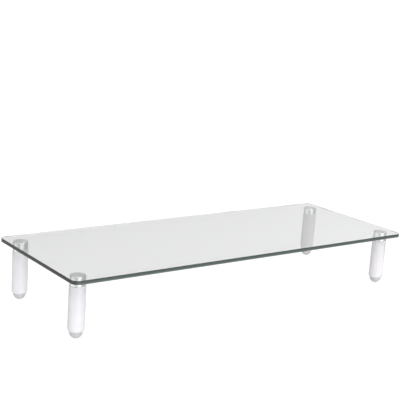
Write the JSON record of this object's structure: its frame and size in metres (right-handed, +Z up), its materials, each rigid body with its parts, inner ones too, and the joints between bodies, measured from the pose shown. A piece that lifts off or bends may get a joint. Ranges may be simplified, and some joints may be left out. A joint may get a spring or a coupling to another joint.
{
  "type": "monitor riser stand",
  "caption": "Clear tempered-glass desk riser with rounded corners, on round white screw-on legs with polished collars and soft domed feet.",
  "frame": {"origin": "on the floor, under the middle of the shelf", "axes": "+X along the shelf's long side, +Y to its back, +Z up"},
  "size_m": [0.56, 0.21, 0.082],
  "materials": {
    "clear_glass": "polished, faint green, darker green edge",
    "clear_adhesive": "clear, cured",
    "polished_metal": "mirror",
    "zinc_steel": "bright zinc plate",
    "natural_nylon": "satin",
    "white_paint": "satin white powder coat",
    "white_plastic": "moulded",
    "grey_silicone": "soft, slightly translucent"
  },
  "bodies": {
    "shelf": {"glass_top": "clear_glass", "bond_film_front_left": "clear_adhesive", "bond_film_front_right": "clear_adhesive", "bond_film_back_left": "clear_adhesive", "bond_film_back_right": "clear_adhesive", "mount_collar_front_left": "polished_metal", "mount_collar_front_right": "polished_metal", "mount_collar_back_left": "polished_metal", "mount_collar_back_right": "polished_metal", "threaded_stud_front_left": "zinc_steel", "threaded_stud_front_right": "zinc_steel", "threaded_stud_back_left": "zinc_steel", "threaded_stud_back_right": "zinc_steel"},
    "washer_front_left": {"friction_washer_front_left": "natural_nylon"},
    "leg_front_left": {"leg_tube_front_left": "white_paint", "thread_insert_front_left": "zinc_steel", "end_plug_front_left": "white_plastic", "foot_pad_front_left": "grey_silicone"},
    "washer_front_right": {"friction_washer_front_right": "natural_nylon"},
    "leg_front_right": {"leg_tube_front_right": "white_paint", "thread_insert_front_right": "zinc_steel", "end_plug_front_right": "white_plastic", "foot_pad_front_right": "grey_silicone"},
    "washer_back_left": {"friction_washer_back_left": "natural_nylon"},
    "leg_back_left": {"leg_tube_back_left": "white_paint", "thread_insert_back_left": "zinc_steel", "end_plug_back_left": "white_plastic", "foot_pad_back_left": "grey_silicone"},
    "washer_back_right": {"friction_washer_back_right": "natural_nylon"},
    "leg_back_right": {"leg_tube_back_right": "white_paint", "thread_insert_back_right": "zinc_steel", "end_plug_back_right": "white_plastic", "foot_pad_back_right": "grey_silicone"}
  },
  "joints": [
    {"name": "leg_travel_front_left", "type": "slide", "parent": "shelf", "child": "washer_front_left", "axis": [0, 0, -1], "range_m": [0, 0.01]},
    {"name": "leg_turn_front_left", "type": "hinge", "parent": "washer_front_left", "child": "leg_front_left", "pos_m": [-0.261, -0.079, 0.0675], "axis": [0, 0, -1], "range_deg": [0, 2880]},
    {"name": "leg_travel_front_right", "type": "slide", "parent": "shelf", "child": "washer_front_right", "axis": [0, 0, -1], "range_m": [0, 0.01]},
    {"name": "leg_turn_front_right", "type": "hinge", "parent": "washer_front_right", "child": "leg_front_right", "pos_m": [0.261, -0.079, 0.0675], "axis": [0, 0, -1], "range_deg": [0, 2880]},
    {"name": "leg_travel_back_left", "type": "slide", "parent": "shelf", "child": "washer_back_left", "axis": [0, 0, -1], "range_m": [0, 0.01]},
    {"name": "leg_turn_back_left", "type": "hinge", "parent": "washer_back_left", "child": "leg_back_left", "pos_m": [-0.261, 0.079, 0.0675], "axis": [0, 0, -1], "range_deg": [0, 2880]},
    {"name": "leg_travel_back_right", "type": "slide", "parent": "shelf", "child": "washer_back_right", "axis": [0, 0, -1], "range_m": [0, 0.01]},
    {"name": "leg_turn_back_right", "type": "hinge", "parent": "washer_back_right", "child": "leg_back_right", "pos_m": [0.261, 0.079, 0.0675], "axis": [0, 0, -1], "range_deg": [0, 2880]}
  ],
  "couplings": [
    {"joint": "leg_travel_front_left", "follows": "leg_turn_front_left", "m_per_rad": 0.00019894},
    {"joint": "leg_travel_front_right", "follows": "leg_turn_front_right", "m_per_rad": 0.00019894},
    {"joint": "leg_travel_back_left", "follows": "leg_turn_back_left", "m_per_rad": 0.00019894},
    {"joint": "leg_travel_back_right", "follows": "leg_turn_back_right", "m_per_rad": 0.00019894}
  ]
}
